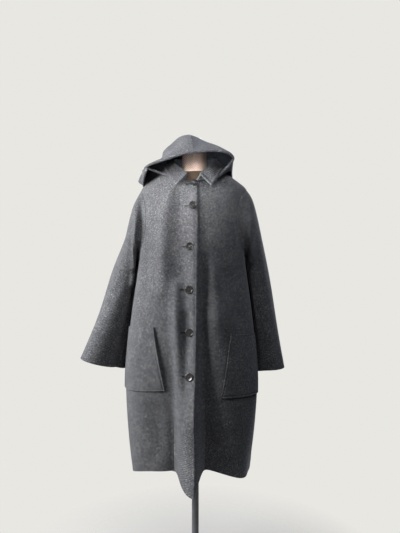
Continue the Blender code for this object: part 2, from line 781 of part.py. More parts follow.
def add_form(linen, wood, iron):
    """Torso that fills the coat's shoulders from below, turned neck cap, pole and round base."""
    heights = np.concatenate([
        np.linspace(FORM_FOOT_HEIGHT, FORM_BLEND_FOOT, 12)[:-1],
        np.linspace(FORM_BLEND_FOOT, FORM_TOP_HEIGHT, 7),
    ])
    turn, height = np.meshgrid(np.linspace(-np.pi, np.pi, FORM_AROUND, endpoint=False), heights)
    own = ring_radius(FORM_RINGS, turn, height)
    plain = np.stack([COAT_X + own * np.sin(turn), -own * np.cos(turn), height], axis=-1)
    under_lap = (WALL + LAP_GAP) * np.exp(-((turn / FORM_LAP_SPREAD) ** 2))
    under_coat = body_point(turn, height, -WALL - FORM_EASE - under_lap)
    share = ease((height - FORM_BLEND_FOOT) / FORM_BLEND)[..., None]
    rings = plain + (under_coat - plain) * share
    mesh = bmesh.new()
    loops = []
    for ring in rings:
        verts = [mesh.verts.new(point) for point in ring]
        loops.append([mesh.edges.new((verts[i - 1], verts[i])) for i in range(FORM_AROUND)])
    for low, high in zip(loops[:-1], loops[1:]):
        bmesh.ops.bridge_loops(mesh, edges=low + high)
    bmesh.ops.contextual_create(mesh, geom=loops[0])
    bmesh.ops.contextual_create(mesh, geom=loops[-1])
    bmesh.ops.recalc_face_normals(mesh, faces=mesh.faces[:])
    add_object("form_torso", mesh, linen)

    foot = float(rings[-1, :, 2].max()) + SEAM
    cap = [(0, foot), (NECK_RADIUS, foot)]
    cap += [(share * NECK_RADIUS, height) for share, height in NECK_PROFILE]
    cap += [(share * KNOB_RADIUS, KNOB_TOP_HEIGHT - drop) for share, drop in KNOB_PROFILE]
    turned("form_neck_cap", cap, wood, segments=24, place=Matrix.Translation((NECK_X, 0, 0)))
    pole = (
        (0, BASE_HUB_HEIGHT + SEAM), (POLE_RADIUS, BASE_HUB_HEIGHT + SEAM),
        (POLE_RADIUS, FORM_FOOT_HEIGHT - SEAM), (0, FORM_FOOT_HEIGHT - SEAM),
    )
    turned("form_pole", pole, iron, segments=24)
    turned("form_base", BASE_PROFILE, iron, segments=36)


for old in list(bpy.data.objects):
    bpy.data.objects.remove(old)

tweed = material("tweed", (0.13, 0.13, 0.125), 0.95)
horn = material("horn", (0.02, 0.02, 0.02), 0.35)
linen = material("linen", (0.30, 0.27, 0.22), 0.9)
wood = material("wood", (0.35, 0.21, 0.10), 0.35)
iron = material("iron", (0.08, 0.08, 0.08), 0.45)

front_grids = add_fronts(tweed)
add_back(tweed)
add_sleeve("sleeve_right", -1, RIGHT_SLEEVE, tweed)
add_sleeve("sleeve_left", 1, LEFT_SLEEVE, tweed)
add_collar(tweed)
add_hood(tweed)
for pocket_name, pocket_side, _, _, hand_foot, hand_top in POCKETS:
    add_pocket(pocket_name, pocket_side, hand_foot, hand_top, front_grids[pocket_side], tweed)
add_buttons(horn)
add_form(linen, wood, iron)
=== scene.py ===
import math

import bmesh
import bpy
import numpy as np
from mathutils import Matrix, Vector
from mathutils.bvhtree import BVHTree
from mathutils.kdtree import KDTree


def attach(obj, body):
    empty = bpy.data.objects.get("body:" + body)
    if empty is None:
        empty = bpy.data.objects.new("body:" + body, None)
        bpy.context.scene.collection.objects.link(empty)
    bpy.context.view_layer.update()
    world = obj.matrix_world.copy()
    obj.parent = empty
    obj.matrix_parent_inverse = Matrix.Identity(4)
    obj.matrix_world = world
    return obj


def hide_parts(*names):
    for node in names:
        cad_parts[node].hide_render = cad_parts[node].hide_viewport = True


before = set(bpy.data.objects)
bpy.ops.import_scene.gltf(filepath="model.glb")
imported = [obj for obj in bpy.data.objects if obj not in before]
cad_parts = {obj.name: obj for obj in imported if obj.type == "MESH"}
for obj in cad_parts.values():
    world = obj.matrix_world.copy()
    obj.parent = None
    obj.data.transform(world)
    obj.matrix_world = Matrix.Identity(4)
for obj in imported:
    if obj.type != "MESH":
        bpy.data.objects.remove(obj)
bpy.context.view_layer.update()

# Round base and pole of the dress form: a weighted steel plate and a steel tube screwed into it.
# Both are sprayed with satin dark grey enamel, so they show a soft highlight and a faint orange peel.
BODY = "root"
MERGE = 1e-5
QUAD_FACE_ANGLE = math.radians(60)
QUAD_SHAPE_ANGLE = math.radians(75)
SHARP = math.radians(50)
BASE_EDGE = 0.0015
POLE_EDGE = 0.0010


def linear(hex_colour):
    """A hex sRGB colour as linear red, green, blue and alpha."""
    shares = [int(hex_colour[i:i + 2], 16) / 255 for i in (1, 3, 5)]
    return [s / 12.92 if s <= 0.04045 else ((s + 0.055) / 1.055) ** 2.4 for s in shares] + [1.0]


def add_node(tree, kind, settings, links):
    """Adds a shader node with its settings (inputs, properties, ramp stops) and links from (node, output)."""
    node = tree.nodes.new(kind)
    for key, value in settings.items():
        if key == "stops":
            while len(node.color_ramp.elements) < len(value):
                node.color_ramp.elements.new(1.0)
            for element, (position, colour) in zip(node.color_ramp.elements, value):
                element.position = position
                element.color = linear(colour)
        elif isinstance(key, int) or key in node.inputs:
            node.inputs[key].default_value = value
        else:
            setattr(node, key, value)
    for key, (source, output) in links.items():
        tree.links.new(source.outputs[output], node.inputs[key])
    return node


def start_material(name, settings):
    """A material with an output and a Principled shader that has these constant values."""
    material = bpy.data.materials.new(name)
    material.use_nodes = True
    tree = material.node_tree
    tree.nodes.clear()
    shader = add_node(tree, "ShaderNodeBsdfPrincipled", settings, {})
    add_node(tree, "ShaderNodeOutputMaterial", {}, {"Surface": (shader, "BSDF")})
    return material, tree, shader


def merged_copy(node):
    """A bmesh of a solid of the frame, with its points merged and its triangles joined into quads."""
    bm = bmesh.new()
    bm.from_mesh(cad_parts[node].data)
    bmesh.ops.remove_doubles(bm, verts=bm.verts[:], dist=MERGE)
    bmesh.ops.join_triangles(
        bm, faces=bm.faces[:], angle_face_threshold=QUAD_FACE_ANGLE,
        angle_shape_threshold=QUAD_SHAPE_ANGLE, topology_influence=1.0,
    )
    return bm


def sharp_edges(bm):
    """The edges where a wall ends or a solid turns a corner."""
    return [e for e in bm.edges if e.is_manifold and e.calc_face_angle() > SHARP]


def new_piece(bm, name, material):
    """Makes the bmesh a smooth-shaded piece that rides on the body."""
    mesh = bpy.data.meshes.new(name)
    bm.to_mesh(mesh)
    bm.free()
    mesh.shade_smooth()
    mesh.materials.clear()
    mesh.materials.append(material)
    piece = bpy.data.objects.new(name, mesh)
    bpy.context.scene.collection.objects.link(piece)
    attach(piece, BODY)
    return piece


def subdivide(piece, levels):
    """Subdivides a piece and keeps the result as its mesh."""
    fine = piece.modifiers.new("Subdivision", "SUBSURF")
    fine.levels = levels
    fine.render_levels = levels
    graph = bpy.context.evaluated_depsgraph_get()
    mesh = bpy.data.meshes.new_from_object(piece.evaluated_get(graph))
    piece.modifiers.clear()
    coarse = piece.data
    piece.data = mesh
    bpy.data.meshes.remove(coarse)
    mesh.name = piece.name
    mesh.shade_smooth()


def rounded_copy(node, name, edge_radius, levels, material):
    """A finer copy of a solid: its sharp edges are rounded, and its faces subdivided."""
    bm = merged_copy(node)
    bmesh.ops.bevel(
        bm, geom=sharp_edges(bm), affect="EDGES", offset=edge_radius, offset_type="OFFSET",
        segments=2, profile=0.5, material=-1, clamp_overlap=True,
    )
    piece = new_piece(bm, name, material)
    subdivide(piece, levels)
    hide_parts(node)
    return piece


# Satin dark grey enamel, sprayed on steel: half gloss, with ripples of about 3 mm in the paint and faint
# cloudy patches of about 29 mm.
ENAMEL_RIPPLE = 0.003
ENAMEL_WEAR = 0.02857
enamel, tree, shader = start_material(
    "satin_dark_grey_enamel", {"Roughness": 0.34, "IOR": 1.5, "Metallic": 0.0})
place = add_node(tree, "ShaderNodeTexCoord", {}, {})
ripple = add_node(
    tree, "ShaderNodeTexNoise", {"Scale": 1 / ENAMEL_RIPPLE, "Detail": 1.0}, {"Vector": (place, "Object")})
wear = add_node(
    tree, "ShaderNodeTexNoise", {"Scale": 1 / ENAMEL_WEAR, "Detail": 4.0}, {"Vector": (place, "Object")})
shade = add_node(
    tree, "ShaderNodeValToRGB", {"stops": [(0.35, "#545557"), (0.62, "#606163"), (0.75, "#75767a")]},
    {"Fac": (wear, "Fac")})
relief = add_node(
    tree, "ShaderNodeBump", {"Strength": 0.12, "Distance": 0.0003}, {"Height": (ripple, "Fac")})
tree.links.new(shade.outputs["Color"], shader.inputs["Base Color"])
tree.links.new(relief.outputs["Normal"], shader.inputs["Normal"])

rounded_copy("form_base", "stand_base", BASE_EDGE, 1, enamel)
rounded_copy("form_pole", "stand_pole", POLE_EDGE, 2, enamel)

# Torso of the dress form: a papier-mache shell with thin padding, covered with plain woven linen.
# It carries the coat at the shoulders and shows only from below and through the neck.
TORSO_EDGE = 0.006

# Linen, its tan darkened throughout as painted shade for the neck opening: slubbed threads of about 1 mm,
# drawn at 2.5 mm so that they show from a step away.
# A wave texture of scale 1 has a band every 0.314 m, so its scale is that period over the spacing.
LINEN_THREAD = 0.0025
WAVE_PERIOD = 0.314
linen, tree, shader = start_material("linen_with_painted_shade", {"Roughness": 0.9, "Specular IOR Level": 0.2})
place = add_node(tree, "ShaderNodeTexCoord", {}, {})
warp = add_node(
    tree, "ShaderNodeTexWave",
    {"bands_direction": "DIAGONAL", "Scale": WAVE_PERIOD / LINEN_THREAD, "Distortion": 1.5},
    {"Vector": (place, "Object")})
weft = add_node(
    tree, "ShaderNodeTexWave",
    {"bands_direction": "Z", "Scale": WAVE_PERIOD / LINEN_THREAD, "Distortion": 1.5},
    {"Vector": (place, "Object")})
cloth = add_node(
    tree, "ShaderNodeMath", {"operation": "MULTIPLY"}, {0: (warp, "Fac"), 1: (weft, "Fac")})
# Painted shade: the linen's tan is darkened throughout to stand for the shade in the neck opening under the
# knob.
shade = add_node(
    tree, "ShaderNodeValToRGB", {"stops": [(0.0, "#5f4e3e"), (0.6, "#7d6854"), (1.0, "#938068")]},
    {"Fac": (cloth, 0)})
relief = add_node(
    tree, "ShaderNodeBump", {"Strength": 0.4, "Distance": 0.0006}, {"Height": (cloth, 0)})
tree.links.new(shade.outputs["Color"], shader.inputs["Base Color"])
tree.links.new(relief.outputs["Normal"], shader.inputs["Normal"])

rounded_copy("form_torso", "form_torso_cover", TORSO_EDGE, 2, linen)

# Neck cap of the dress form: a knob turned from beech, stained and varnished.
# It is dowelled into the top of the torso and shows between the collar leaves.
KNOB_EDGE = 0.001

# Varnished beech: warm tan with growth rings about 4 mm apart, flecks as large, and a glossy clear coat.
RING_SPACING = 0.004
GRAIN_LEAN = (0.25, 1.1, 0.0)
FLECK = 0.003846
FLECK_SHARE = 0.45
beech, tree, shader = start_material(
    "varnished_beech", {"Roughness": 0.42, "Coat Weight": 0.5, "Coat Roughness": 0.16, "IOR": 1.5})
place = add_node(tree, "ShaderNodeTexCoord", {}, {})
lean = add_node(
    tree, "ShaderNodeMapping", {"Rotation": GRAIN_LEAN}, {"Vector": (place, "Object")})
rings = add_node(
    tree, "ShaderNodeTexWave",
    {"wave_type": "RINGS", "Scale": WAVE_PERIOD / RING_SPACING, "Distortion": 3.0, "Detail": 2.0},
    {"Vector": (lean, "Vector")})
flecks = add_node(
    tree, "ShaderNodeTexNoise", {"Scale": 1 / FLECK, "Detail": 3.0}, {"Vector": (place, "Object")})
grain = add_node(
    tree, "ShaderNodeMix", {"Factor": FLECK_SHARE}, {2: (rings, "Fac"), 3: (flecks, "Fac")})
shade = add_node(
    tree, "ShaderNodeValToRGB", {"stops": [(0.2, "#9a7a64"), (0.5, "#c4a48c"), (0.8, "#dcc4b0")]},
    {"Fac": (grain, 0)})
relief = add_node(
    tree, "ShaderNodeBump", {"Strength": 0.15, "Distance": 0.0003}, {"Height": (grain, 0)})
tree.links.new(shade.outputs["Color"], shader.inputs["Base Color"])
tree.links.new(relief.outputs["Normal"], shader.inputs["Normal"])

rounded_copy("form_neck_cap", "form_neck_knob", KNOB_EDGE, 2, beech)

# Back of the coat: one panel of thick wool tweed, cut wide and joined to the fronts at the side seams.
# It hangs free from the shoulders in soft uneven folds that deepen towards the hem.
# Cloth is unrolled round an axis, given as its centre, direction, where turn 0 faces, and a radius.
COAT_X = -0.012
BODY_SCALE = 0.21
EDGE_ROUND = 0.0012
AROUND_BODY = (Vector((COAT_X, 0, 0)), Vector((0, 0, 1)), Vector((0, -1, 0)), BODY_SCALE)
AROUND_BACK = (Vector((COAT_X, 0, 0)), Vector((0, 0, 1)), Vector((0, 1, 0)), BODY_SCALE)

# Charcoal melange tweed: black and grey wool spun together with a few white fibres, woven as a twill
# and brushed. The eye sees salt-and-pepper specks, a matt face and a pale bloom where the nap catches light.
# The specks are about 2 mm on the cloth. They are drawn at 4.5 mm with a grain of 2.1 mm in them, and the
# twill lines at 5 mm, so that they show. The shade drifts over about 55 mm.
SPECK = 0.0045
FINE_SPECK = 0.0021
TWILL = 0.005
TWILL_TURN = math.radians(52)
MOTTLE = 0.055
FINE_SHARE = 0.35
TWILL_SHARE = 0.10
MOTTLE_SHARE = 0.10
tweed, tree, shader = start_material(
    "charcoal_melange_tweed",
    {"Roughness": 0.95, "Specular IOR Level": 0.0, "Sheen Weight": 0.22, "Sheen Roughness": 0.45,
     "Sheen Tint": linear("#c9ccd2")})
place = add_node(tree, "ShaderNodeTexCoord", {}, {})
speck = add_node(
    tree, "ShaderNodeTexNoise", {"Scale": 1 / SPECK, "Detail": 2.0, "Roughness": 0.65},
    {"Vector": (place, "Object")})
fine = add_node(
    tree, "ShaderNodeTexNoise", {"Scale": 1 / FINE_SPECK, "Detail": 1.0}, {"Vector": (place, "Object")})
mottle = add_node(
    tree, "ShaderNodeTexNoise", {"Scale": 1 / MOTTLE, "Detail": 2.0}, {"Vector": (place, "Object")})
turned = add_node(
    tree, "ShaderNodeMapping", {"Rotation": (0.0, 0.0, TWILL_TURN)}, {"Vector": (place, "UV")})
twill = add_node(
    tree, "ShaderNodeTexWave",
    {"Scale": WAVE_PERIOD / TWILL, "Distortion": 2.5, "Detail": 2.0, "Detail Scale": 2.0},
    {"Vector": (turned, "Vector")})
grains = add_node(tree, "ShaderNodeMix", {"Factor": FINE_SHARE}, {2: (speck, "Fac"), 3: (fine, "Fac")})
woven = add_node(tree, "ShaderNodeMix", {"Factor": TWILL_SHARE}, {2: (grains, 0), 3: (twill, "Fac")})
melange = add_node(tree, "ShaderNodeMix", {"Factor": MOTTLE_SHARE}, {2: (woven, 0), 3: (mottle, "Fac")})
shade = add_node(
    tree, "ShaderNodeValToRGB",
    {"stops": [
        (0.34, "#3b3b3c"), (0.46, "#525253"), (0.54, "#666666"), (0.62, "#7e7e7d"), (0.70, "#b0afac")]},
    {"Fac": (melange, 0)})
nap = add_node(
    tree, "ShaderNodeBump", {"Strength": 0.24, "Distance": 0.0012}, {"Height": (melange, 0)})
tree.links.new(shade.outputs["Color"], shader.inputs["Base Color"])
tree.links.new(nap.outputs["Normal"], shader.inputs["Normal"])


def points_of(piece):
    """The points of a piece's mesh, one a row."""
    points = np.empty(len(piece.data.vertices) * 3)
    piece.data.vertices.foreach_get("co", points)
    return points.reshape(-1, 3)


def set_points(piece, points):
    """Moves the points of a piece's mesh to these places."""
    piece.data.vertices.foreach_set("co", points.ravel())
    piece.data.update()


def unrolled(points, around):
    """Each point's distance round and along an axis in metres, and the direction straight out from it."""
    centre, axis, facing, scale = (np.array(v) for v in around)
    from_centre = points - centre
    along = from_centre @ axis
    out = from_centre - along[:, None] * axis
    side = np.cross(axis, facing)
    angle = np.arctan2(out @ side, out @ facing)
    return angle * scale, along, out / np.linalg.norm(out, axis=1, keepdims=True)


def lay_threads(piece, around):
    """A UV map in metres, round and along the axis, so that the weave follows the cloth."""
    across, along, _ = unrolled(points_of(piece), around)
    corners = np.empty(len(piece.data.loops), np.int32)
    piece.data.loops.foreach_get("vertex_index", corners)
    threads = piece.data.uv_layers.new(name="threads")
    threads.data.foreach_set("uv", np.stack([across, along], axis=1)[corners].ravel())


STROKE_ENDS = 0.08


def crease_moves(points, around, strokes):
    """How far soft troughs and ridges move each point. A stroke joins two places in the unrolled cloth."""
    across, along, out = unrolled(points, around)
    push = np.zeros(len(points))
    for start_turn, start_along, end_turn, end_along, half_width, depth in strokes:
        start = np.array([math.radians(start_turn) * around[3], start_along])
        line = np.array([math.radians(end_turn) * around[3], end_along]) - start
        here = np.stack([across, along], axis=1) - start
        share = np.clip(here @ line / (line @ line), 0, 1)
        away = np.linalg.norm(here - share[:, None] * line, axis=1)
        ends = np.clip(np.minimum(share, 1 - share) / STROKE_ENDS, 0, 1)
        fade = np.sqrt(4 * share * (1 - share)) * ends**2 * (3 - 2 * ends)
        push += depth * fade * np.exp(-((away / half_width) ** 2))
    return push[:, None] * out


CUFFS_END = 1.0
SEAM_SPOTS = 6
SEAM_HOLD = 0.022


def armhole_seams():
    """A search tree of spots along the rims where the sleeves are sewn in."""
    spots = []
    for node in ("sleeve_right", "sleeve_left"):
        bm = merged_copy(node)
        for edge in sharp_edges(bm):
            start, end = (v.co for v in edge.verts)
            if min(start.z, end.z) > CUFFS_END:
                spots += [start.lerp(end, step / SEAM_SPOTS) for step in range(SEAM_SPOTS)]
        bm.free()
    seams = KDTree(len(spots))
    for index, spot in enumerate(spots):
        seams.insert(spot, index)
    seams.balance()
    return seams


def crease(piece, around, strokes):
    """Creases a panel, less and less towards the armhole seams, so that no fold pulls them apart."""
    points = points_of(piece)
    share = np.clip([seams.find(point)[2] / SEAM_HOLD for point in points], 0, 1)
    set_points(piece, points + (share**2 * (3 - 2 * share))[:, None] * crease_moves(points, around, strokes))


def cloth_piece(node, name, levels):
    """A cloth panel: a finer copy of its wall, with the cut edges rounded as folded cloth is."""
    return rounded_copy(node, name, EDGE_ROUND, levels, tweed)


seams = armhole_seams()
BACK_CREASES = (
    # start turn in degrees, start height, end turn, end height, half width, depth
    (22, 1.24, 30, 0.46, 0.024, -0.011),
    (-14, 1.20, -20, 0.47, 0.028, -0.012),
    (48, 1.10, 55, 0.47, 0.024, 0.009),
    (-52, 1.12, -60, 0.46, 0.026, -0.009),
    (4, 1.05, 6, 0.46, 0.032, 0.009),
    (-34, 1.04, -40, 0.45, 0.024, 0.010),
)
back = cloth_piece("coat_back", "back_panel", 2)
crease(back, AROUND_BACK, BACK_CREASES)
lay_threads(back, AROUND_BACK)

# Fronts of the coat: two panels of the same tweed. The wearer's right one laps over the left one.
# The lap stands out in a keel towards the hem, and the cloth drags a little from each button.
FRONT_CREASES = (
    # start turn in degrees, start height, end turn, end height, half width, depth
    (6, 1.45, 3, 0.54, 0.034, 0.017),
    (-21, 1.38, -17, 1.28, 0.010, -0.0030),
    (-27, 1.38, -24, 1.29, 0.009, -0.0022),
    (-36, 1.38, -33, 0.98, 0.032, 0.013),
    (-18, 1.34, -17, 1.02, 0.034, -0.003),
    (-60, 1.26, -52, 0.95, 0.022, -0.004),
    (-6, 0.97, -5, 0.58, 0.026, -0.010),
    (-19, 1.08, -7, 0.48, 0.027, 0.017),
    (-8, 1.10, -20, 1.05, 0.010, -0.0015),
    (-38, 0.66, -34, 0.46, 0.026, -0.006),
    (-58, 1.02, -56, 0.40, 0.054, 0.013),
    (26, 1.14, 29, 0.88, 0.022, 0.005),
    (12, 0.93, 54, 0.93, 0.075, 0.009),
    (50, 1.10, 54, 0.88, 0.020, -0.004),
)
UNDER_LAP_CREASES = (
    # The left front falls back beside the lap's edge, from the neck to the keel.
    (12, 1.42, 15, 0.56, 0.024, -0.014),
)
HEM_STEP = 0.0045
LAP_HEM = 0.0040
HEM_SOFT = 0.0030
HEM_RISE = 0.0012
LAP_EDGE_SIDEWAYS = 0.3
LAP_EDGE_SLOPE = 0.5


def rim_places(node, piece, inset, spacing, wanted):
    """Places of stitches along the wanted rims of a panel: centre, direction of sewing and face normal."""
    bm = merged_copy(node)
    edges = []
    inward_at = {}
    for edge in sharp_edges(bm):
        skin = max(edge.link_faces, key=lambda face: face.calc_area())
        start, end = (v.co for v in edge.verts)
        run = (end - start).normalized()
        inward = skin.calc_center_median() - (start + end) / 2
        inward = (inward - run * inward.dot(run)).normalized()
        if wanted((start + end) / 2, skin.normal, inward):
            edges.append(edge)
            for vertex in edge.verts:
                inward_at[vertex] = inward_at.get(vertex, Vector()) + inward
    surface = BVHTree.FromPolygons(
        [v.co for v in piece.data.vertices], [p.vertices[:] for p in piece.data.polygons])
    places = []
    for edge in edges:
        start, end = edge.verts
        count = max(1, round(edge.calc_length() / spacing))
        for step in range(count):
            share = (step + 0.5) / count
            inward = inward_at[start].normalized().lerp(inward_at[end].normalized(), share)
            spot, normal, _, _ = surface.find_nearest(start.co.lerp(end.co, share) + inward * inset)
            places.append((spot, (end.co - start.co).normalized(), normal))
    bm.free()
    return places


def swell(piece, places, reach, soft, rise):
    """Moves the cloth within reach of the places out along its normals, or in where the rise is negative."""
    points = points_of(piece)
    normals = np.empty(len(points) * 3, np.float32)
    piece.data.vertices.foreach_get("normal", normals)
    spots = KDTree(len(places))
    for index, (spot, _, _) in enumerate(places):
        spots.insert(spot, index)
    spots.balance()
    away = np.array([spots.find(point)[2] for point in points])
    share = np.clip((reach + soft - away) / soft, 0, 1)
    set_points(piece, points + (rise * share**2 * (3 - 2 * share))[:, None] * normals.reshape(-1, 3))


def is_lap_edge(middle, normal, inward):
    """The lap's edge is upright, faces forward and has the cloth on its right."""
    return inward.x < -LAP_EDGE_SIDEWAYS and normal.y < 0 and abs(inward.z) < LAP_EDGE_SLOPE


front_left = cloth_piece("coat_front_left", "left_front", 2)
front_right = cloth_piece("coat_front_right", "right_front", 3)
lap_edge = rim_places("coat_front_right", front_right, 0.0, HEM_STEP, is_lap_edge)
swell(front_right, lap_edge, LAP_HEM, HEM_SOFT, HEM_RISE)
crease(front_left, AROUND_BODY, UNDER_LAP_CREASES)
for front, flat, area in ((front_left, (0.44, 1.02), 0.335), (front_right, (0.42, 1.02), 0.320)):
    crease(front, AROUND_BODY, FRONT_CREASES)
    lay_threads(front, AROUND_BODY)

# Patch pockets: a square of tweed on each front, sewn down on three sides.
# The slanted side towards the middle is left open for the hand and gapes a little.
for side, node, area in (("right", "pocket_right", 0.0374), ("left", "pocket_left", 0.0345)):
    pocket = cloth_piece(node, f"{side}_patch_pocket", 4)
    crease(pocket, AROUND_BODY, FRONT_CREASES)
    lay_threads(pocket, AROUND_BODY)

# Sewing on the pockets: one row of stitches in charcoal thread, all round and a little in from the edge.
# The row holds the pocket to the front on three sides and the turned hem at the hand side, and it
# draws the cloth in to a shallow groove.
STITCH_LENGTH = 0.0036
STITCH_SPACING = 0.0046
STITCH_WIDTH = 0.0009
STITCH_HEIGHT = 0.0006
POCKET_INSET = 0.0065
SEW_DEPTH = 0.0012
SEW_SOFT = 0.0045
SPINDLE_SIDES = 6
SPINDLE_RINGS = 5

# Cotton thread: two plies twisted together, matt with a slight sheen, a shade darker than the tweed.
PLY = 0.001111
thread, tree, shader = start_material(
    "charcoal_cotton_thread", {"Roughness": 0.7, "Specular IOR Level": 0.3, "Sheen Weight": 0.1})
place = add_node(tree, "ShaderNodeTexCoord", {}, {})
ply = add_node(tree, "ShaderNodeTexNoise", {"Scale": 1 / PLY, "Detail": 1.0}, {"Vector": (place, "Object")})
shade = add_node(
    tree, "ShaderNodeValToRGB", {"stops": [(0.35, "#232427"), (0.65, "#3d3e41")]}, {"Fac": (ply, "Fac")})
tree.links.new(shade.outputs["Color"], shader.inputs["Base Color"])


def sew(name, places, size, material):
    """One joined mesh of small spindles of this length, width and height, one at each place."""
    spindle = bmesh.new()
    bmesh.ops.create_uvsphere(spindle, u_segments=SPINDLE_SIDES, v_segments=SPINDLE_RINGS, radius=0.5)
    shape = np.array([v.co for v in spindle.verts])
    faces = [[v.index for v in face.verts] for face in spindle.faces]
    spindle.free()
    points = []
    sides = []
    for spot, run, normal in places:
        across = normal.cross(run).normalized()
        frame_of_stitch = np.array([across * size[1], normal * size[2], run * size[0]])
        sides += [[index + len(points) * len(shape) for index in face] for face in faces]
        points.append(np.array(spot) + shape @ frame_of_stitch)
    mesh = bpy.data.meshes.new(name)
    mesh.from_pydata(np.concatenate(points).tolist(), [], sides)
    mesh.shade_smooth()
    mesh.materials.append(material)
    piece = bpy.data.objects.new(name, mesh)
    bpy.context.scene.collection.objects.link(piece)
    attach(piece, BODY)
    return piece


def faces_out(middle, normal, inward):
    """The outer skin looks away from the coat's middle."""
    return normal.dot(Vector((middle.x - COAT_X, middle.y, 0))) > 0


STITCH = (STITCH_LENGTH, STITCH_WIDTH, STITCH_HEIGHT)
for side in ("right", "left"):
    pocket = bpy.data.objects[f"{side}_patch_pocket"]
    node = f"pocket_{side}"
    places = rim_places(node, pocket, POCKET_INSET, STITCH_SPACING, faces_out)
    swell(pocket, places, 0.0, SEW_SOFT, -SEW_DEPTH)
    places = rim_places(node, pocket, POCKET_INSET, STITCH_SPACING, faces_out)
    sew(f"{side}_pocket_stitches", places, STITCH, thread)

# Sleeves: wide tubes of tweed, set into low armholes and open at the cuffs.
# They hang straight and press flat against the body, with slack folds under the arm.
SLEEVES = (
    # side, top of the axis, foot of the axis, flat area
    ("right", Vector((-0.19, 0.010, 1.24)), Vector((-0.30, 0.004, 0.72)), 0.22),
    ("left", Vector((0.17, 0.030, 1.24)), Vector((0.26, 0.055, 0.72)), 0.21),
)
SLEEVE_CREASES = {
    # start turn in degrees, start distance from the top, end turn, end distance, half width, depth
    "right": (
        (-30, -0.18, -38, 0.70, 0.046, -0.020),
        (-6, -0.30, -22, 0.12, 0.028, -0.014),
        (36, -0.12, 42, 0.70, 0.034, 0.009),
        (20, 0.16, 46, 0.32, 0.015, -0.003),
        (150, 0.10, 170, 0.34, 0.018, -0.005),
        (-140, 0.16, -120, 0.36, 0.018, 0.004),
    ),
    "left": (
        (0, -0.16, 10, 0.70, 0.046, -0.012),
        (-40, 0.02, -44, 0.70, 0.030, 0.004),
        (-20, 0.12, -42, 0.30, 0.016, -0.003),
        (-150, 0.10, -170, 0.34, 0.018, -0.005),
        (140, 0.16, 120, 0.36, 0.018, 0.004),
    ),
}
SLEEVE_SCALE = 0.07
for side, top, foot, area in SLEEVES:
    sleeve = cloth_piece(f"sleeve_{side}", f"{side}_sleeve", 2)
    around_sleeve = (top, (foot - top).normalized(), Vector((0, -1, 0)), SLEEVE_SCALE)
    crease(sleeve, around_sleeve, SLEEVE_CREASES[side])
    lay_threads(sleeve, around_sleeve)

# Collar: one folded strip of tweed, with a stand at the neck and two pointed leaves that fall open.
# It is sewn to the neckline, and its edge is thick where the turnings lie inside.
NECK_X = -0.004
NECK_SCALE = 0.08
AROUND_NECK = (Vector((NECK_X, 0, 0)), Vector((0, 0, 1)), Vector((0, 1, 0)), NECK_SCALE)
COLLAR_HEM = 0.0045
COLLAR_RISE = 0.0020
LEAF_LIFT = (
    # start turn in degrees, start height, end turn, end height, half width, depth
    (-46, 1.425, -16, 1.355, 0.022, 0.006),
    (36, 1.440, 24, 1.350, 0.022, 0.005),
)


def faces_up(middle, normal, inward):
    """The upper skin of the fallen leaves looks up."""
    return normal.z > 0


collar = cloth_piece("collar", "folded_collar", 3)
crease(collar, AROUND_BODY, LEAF_LIFT)
swell(collar, rim_places("collar", collar, 0.0, HEM_STEP, faces_up), COLLAR_HEM, HEM_SOFT, COLLAR_RISE)
lay_threads(collar, AROUND_NECK)

# Hood: two halves of tweed joined by a seam over the crown, with the brim turned back as a hem.
# It stands up from the neck, propped on the collar, and its right corner droops over the shoulder.
CROWN_CENTRE = Vector((-0.01, 0, 1.45))
CROWN_SCALE = 0.13
AROUND_CROWN = (CROWN_CENTRE, Vector((0, 1, 0)), Vector((0, 0, 1)), CROWN_SCALE)
BRIM_HEM = 0.009
BRIM_RISE = 0.0024
BRIM_SOFT = 0.005
BRIM_STITCH_INSET = 0.0135
BRIM_GROOVE = 0.0020
BRIM_LEAN = 0.5
HOOD_CREASES = (
    # start turn in degrees, start distance behind the middle, end turn, end distance, half width, depth
    (-72, -0.11, -74, 0.06, 0.022, -0.014),
    (-22, -0.16, -24, 0.14, 0.040, 0.005),
    (-58, -0.16, -58, 0.10, 0.030, 0.003),
    (22, -0.16, 26, 0.14, 0.048, -0.005),
    (58, -0.16, 60, 0.10, 0.040, 0.003),
    (8, 0.06, 20, 0.15, 0.020, -0.005),
)


def is_brim(middle, normal, inward):
    """The brim is the hood's front edge: the cloth lies behind it."""
    return inward.y > BRIM_LEAN


for side, area in (("right", 0.092), ("left", 0.081)):
    hood = cloth_piece(f"hood_{side}", f"{side}_hood_half", 3)
    crease(hood, AROUND_CROWN, HOOD_CREASES)
    swell(hood, rim_places(f"hood_{side}", hood, 0.0, HEM_STEP, is_brim), BRIM_HEM, BRIM_SOFT, BRIM_RISE)
    places = rim_places(f"hood_{side}", hood, BRIM_STITCH_INSET, STITCH_SPACING, is_brim)
    swell(hood, places, 0.0, SEW_SOFT, -BRIM_GROOVE)
    lay_threads(hood, AROUND_CROWN)
    places = rim_places(f"hood_{side}", hood, BRIM_STITCH_INSET, STITCH_SPACING, is_brim)
    sew(f"{side}_brim_stitches", places, STITCH, thread)

# Buttons: six round coat buttons, turned from dark horn with a raised rim, a dished middle and four holes.
# Each is sewn to the under lap with crossed thread and passes through a worked buttonhole in the over lap.
BUTTON_COUNT = 6
BUTTON_SEGMENTS = 40
RIM_SPOTS = 16
SEAT_SHARE = 0.8
HOLE_RADIUS = 0.0011
HOLE_OFFSET = 0.0026
DRILL_SIDES = 12
DRILL_LENGTHS = 4
BUTTON_PROFILE = (
    # share of the radius, share of the thickness
    (0.00, 0.00),
    (0.70, 0.00),
    (0.90, 0.20),
    (0.985, 0.45),
    (1.00, 0.62),
    (0.985, 0.84),
    (0.93, 0.98),
    (0.86, 1.00),
    (0.79, 0.97),
    (0.70, 0.80),
    (0.58, 0.67),
    (0.35, 0.61),
    (0.00, 0.60),
)

